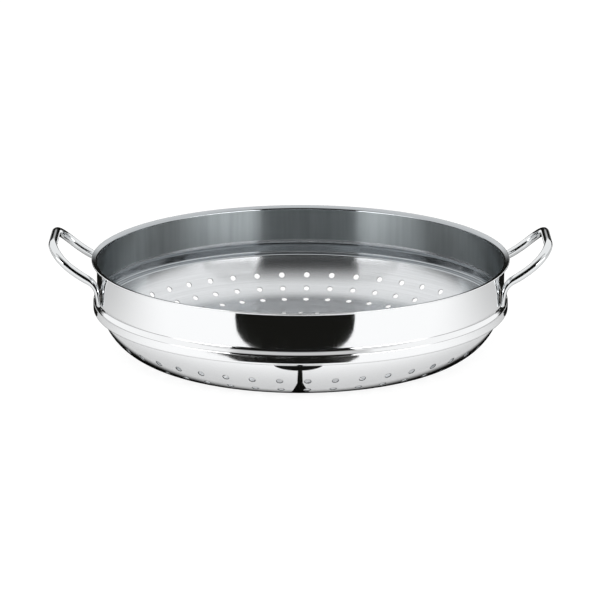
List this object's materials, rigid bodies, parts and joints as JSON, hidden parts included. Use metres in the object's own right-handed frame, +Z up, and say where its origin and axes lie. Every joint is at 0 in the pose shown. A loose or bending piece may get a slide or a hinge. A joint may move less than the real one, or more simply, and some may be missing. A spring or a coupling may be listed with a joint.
{
  "type": "wok steamer insert",
  "caption": "Shallow round steel steamer insert for a wok: perforated bowl, upright wall with a flared rim, a bead whose ledge rests on the wok's rim, and bent rod loop handles.",
  "frame": {"origin": "centre of the object's box, at the height of the floor's underside", "axes": "+X through the right handle, +Z up out of the bowl, -Y towards the picture's camera"},
  "size_m": [0.4312, 0.36, 0.1018],
  "materials": {
    "bowl_steel": "mirror polished outside, turned satin inside",
    "rod_steel": "mirror polished",
    "weld_steel": "as welded"
  },
  "bodies": {
    "root": {"steamer_bowl": "bowl_steel", "left_handle": "rod_steel", "right_handle": "rod_steel", "left_front_weld": "weld_steel", "left_rear_weld": "weld_steel", "right_front_weld": "weld_steel", "right_rear_weld": "weld_steel"}
  },
  "joints": []
}
